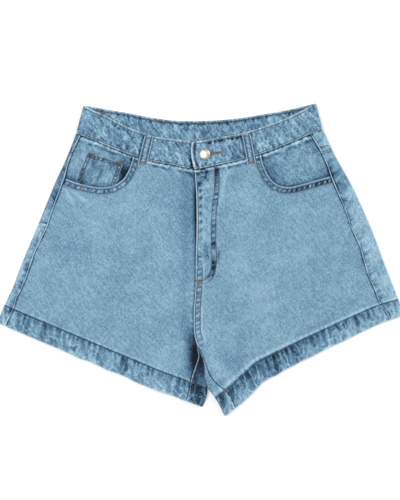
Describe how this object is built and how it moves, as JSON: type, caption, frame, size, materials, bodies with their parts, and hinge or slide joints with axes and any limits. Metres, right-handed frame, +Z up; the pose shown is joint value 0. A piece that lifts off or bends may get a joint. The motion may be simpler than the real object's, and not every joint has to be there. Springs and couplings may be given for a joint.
{
  "type": "denim shorts",
  "caption": "High-waisted denim shorts laid flat, front up, with flared legs, scoop front pockets, a coin pocket, belt loops and a shank button at the waistband.",
  "frame": {"origin": "middle of the bounding box, on the surface that the shorts lie on", "axes": "+X to the wearer's left, +Y to the waist, +Z up out of the surface, front of the shorts up"},
  "size_m": [0.6092, 0.4699, 0.017],
  "materials": {
    "denim": "stone-washed light blue cotton twill, matte",
    "button_metal": "nickel-plated shank button, smooth dome",
    "topstitch_thread": "tan brown polyester sewing thread",
    "hem_thread": "dark blue sewing thread"
  },
  "bodies": {
    "root": {"front_panel_right": "denim", "front_panel_left": "denim", "back_panel_right": "denim", "back_panel_left": "denim", "back_yoke_right": "denim", "back_yoke_left": "denim", "waistband_right": "denim", "waistband_left": "denim", "pocket_facing_right": "denim", "pocket_facing_left": "denim", "coin_pocket": "denim", "fly_facing": "denim", "belt_loop_front_right": "denim", "belt_loop_front_left": "denim", "belt_loop_back_right": "denim", "belt_loop_back_centre": "denim", "belt_loop_back_left": "denim", "button": "button_metal"}
  },
  "joints": []
}
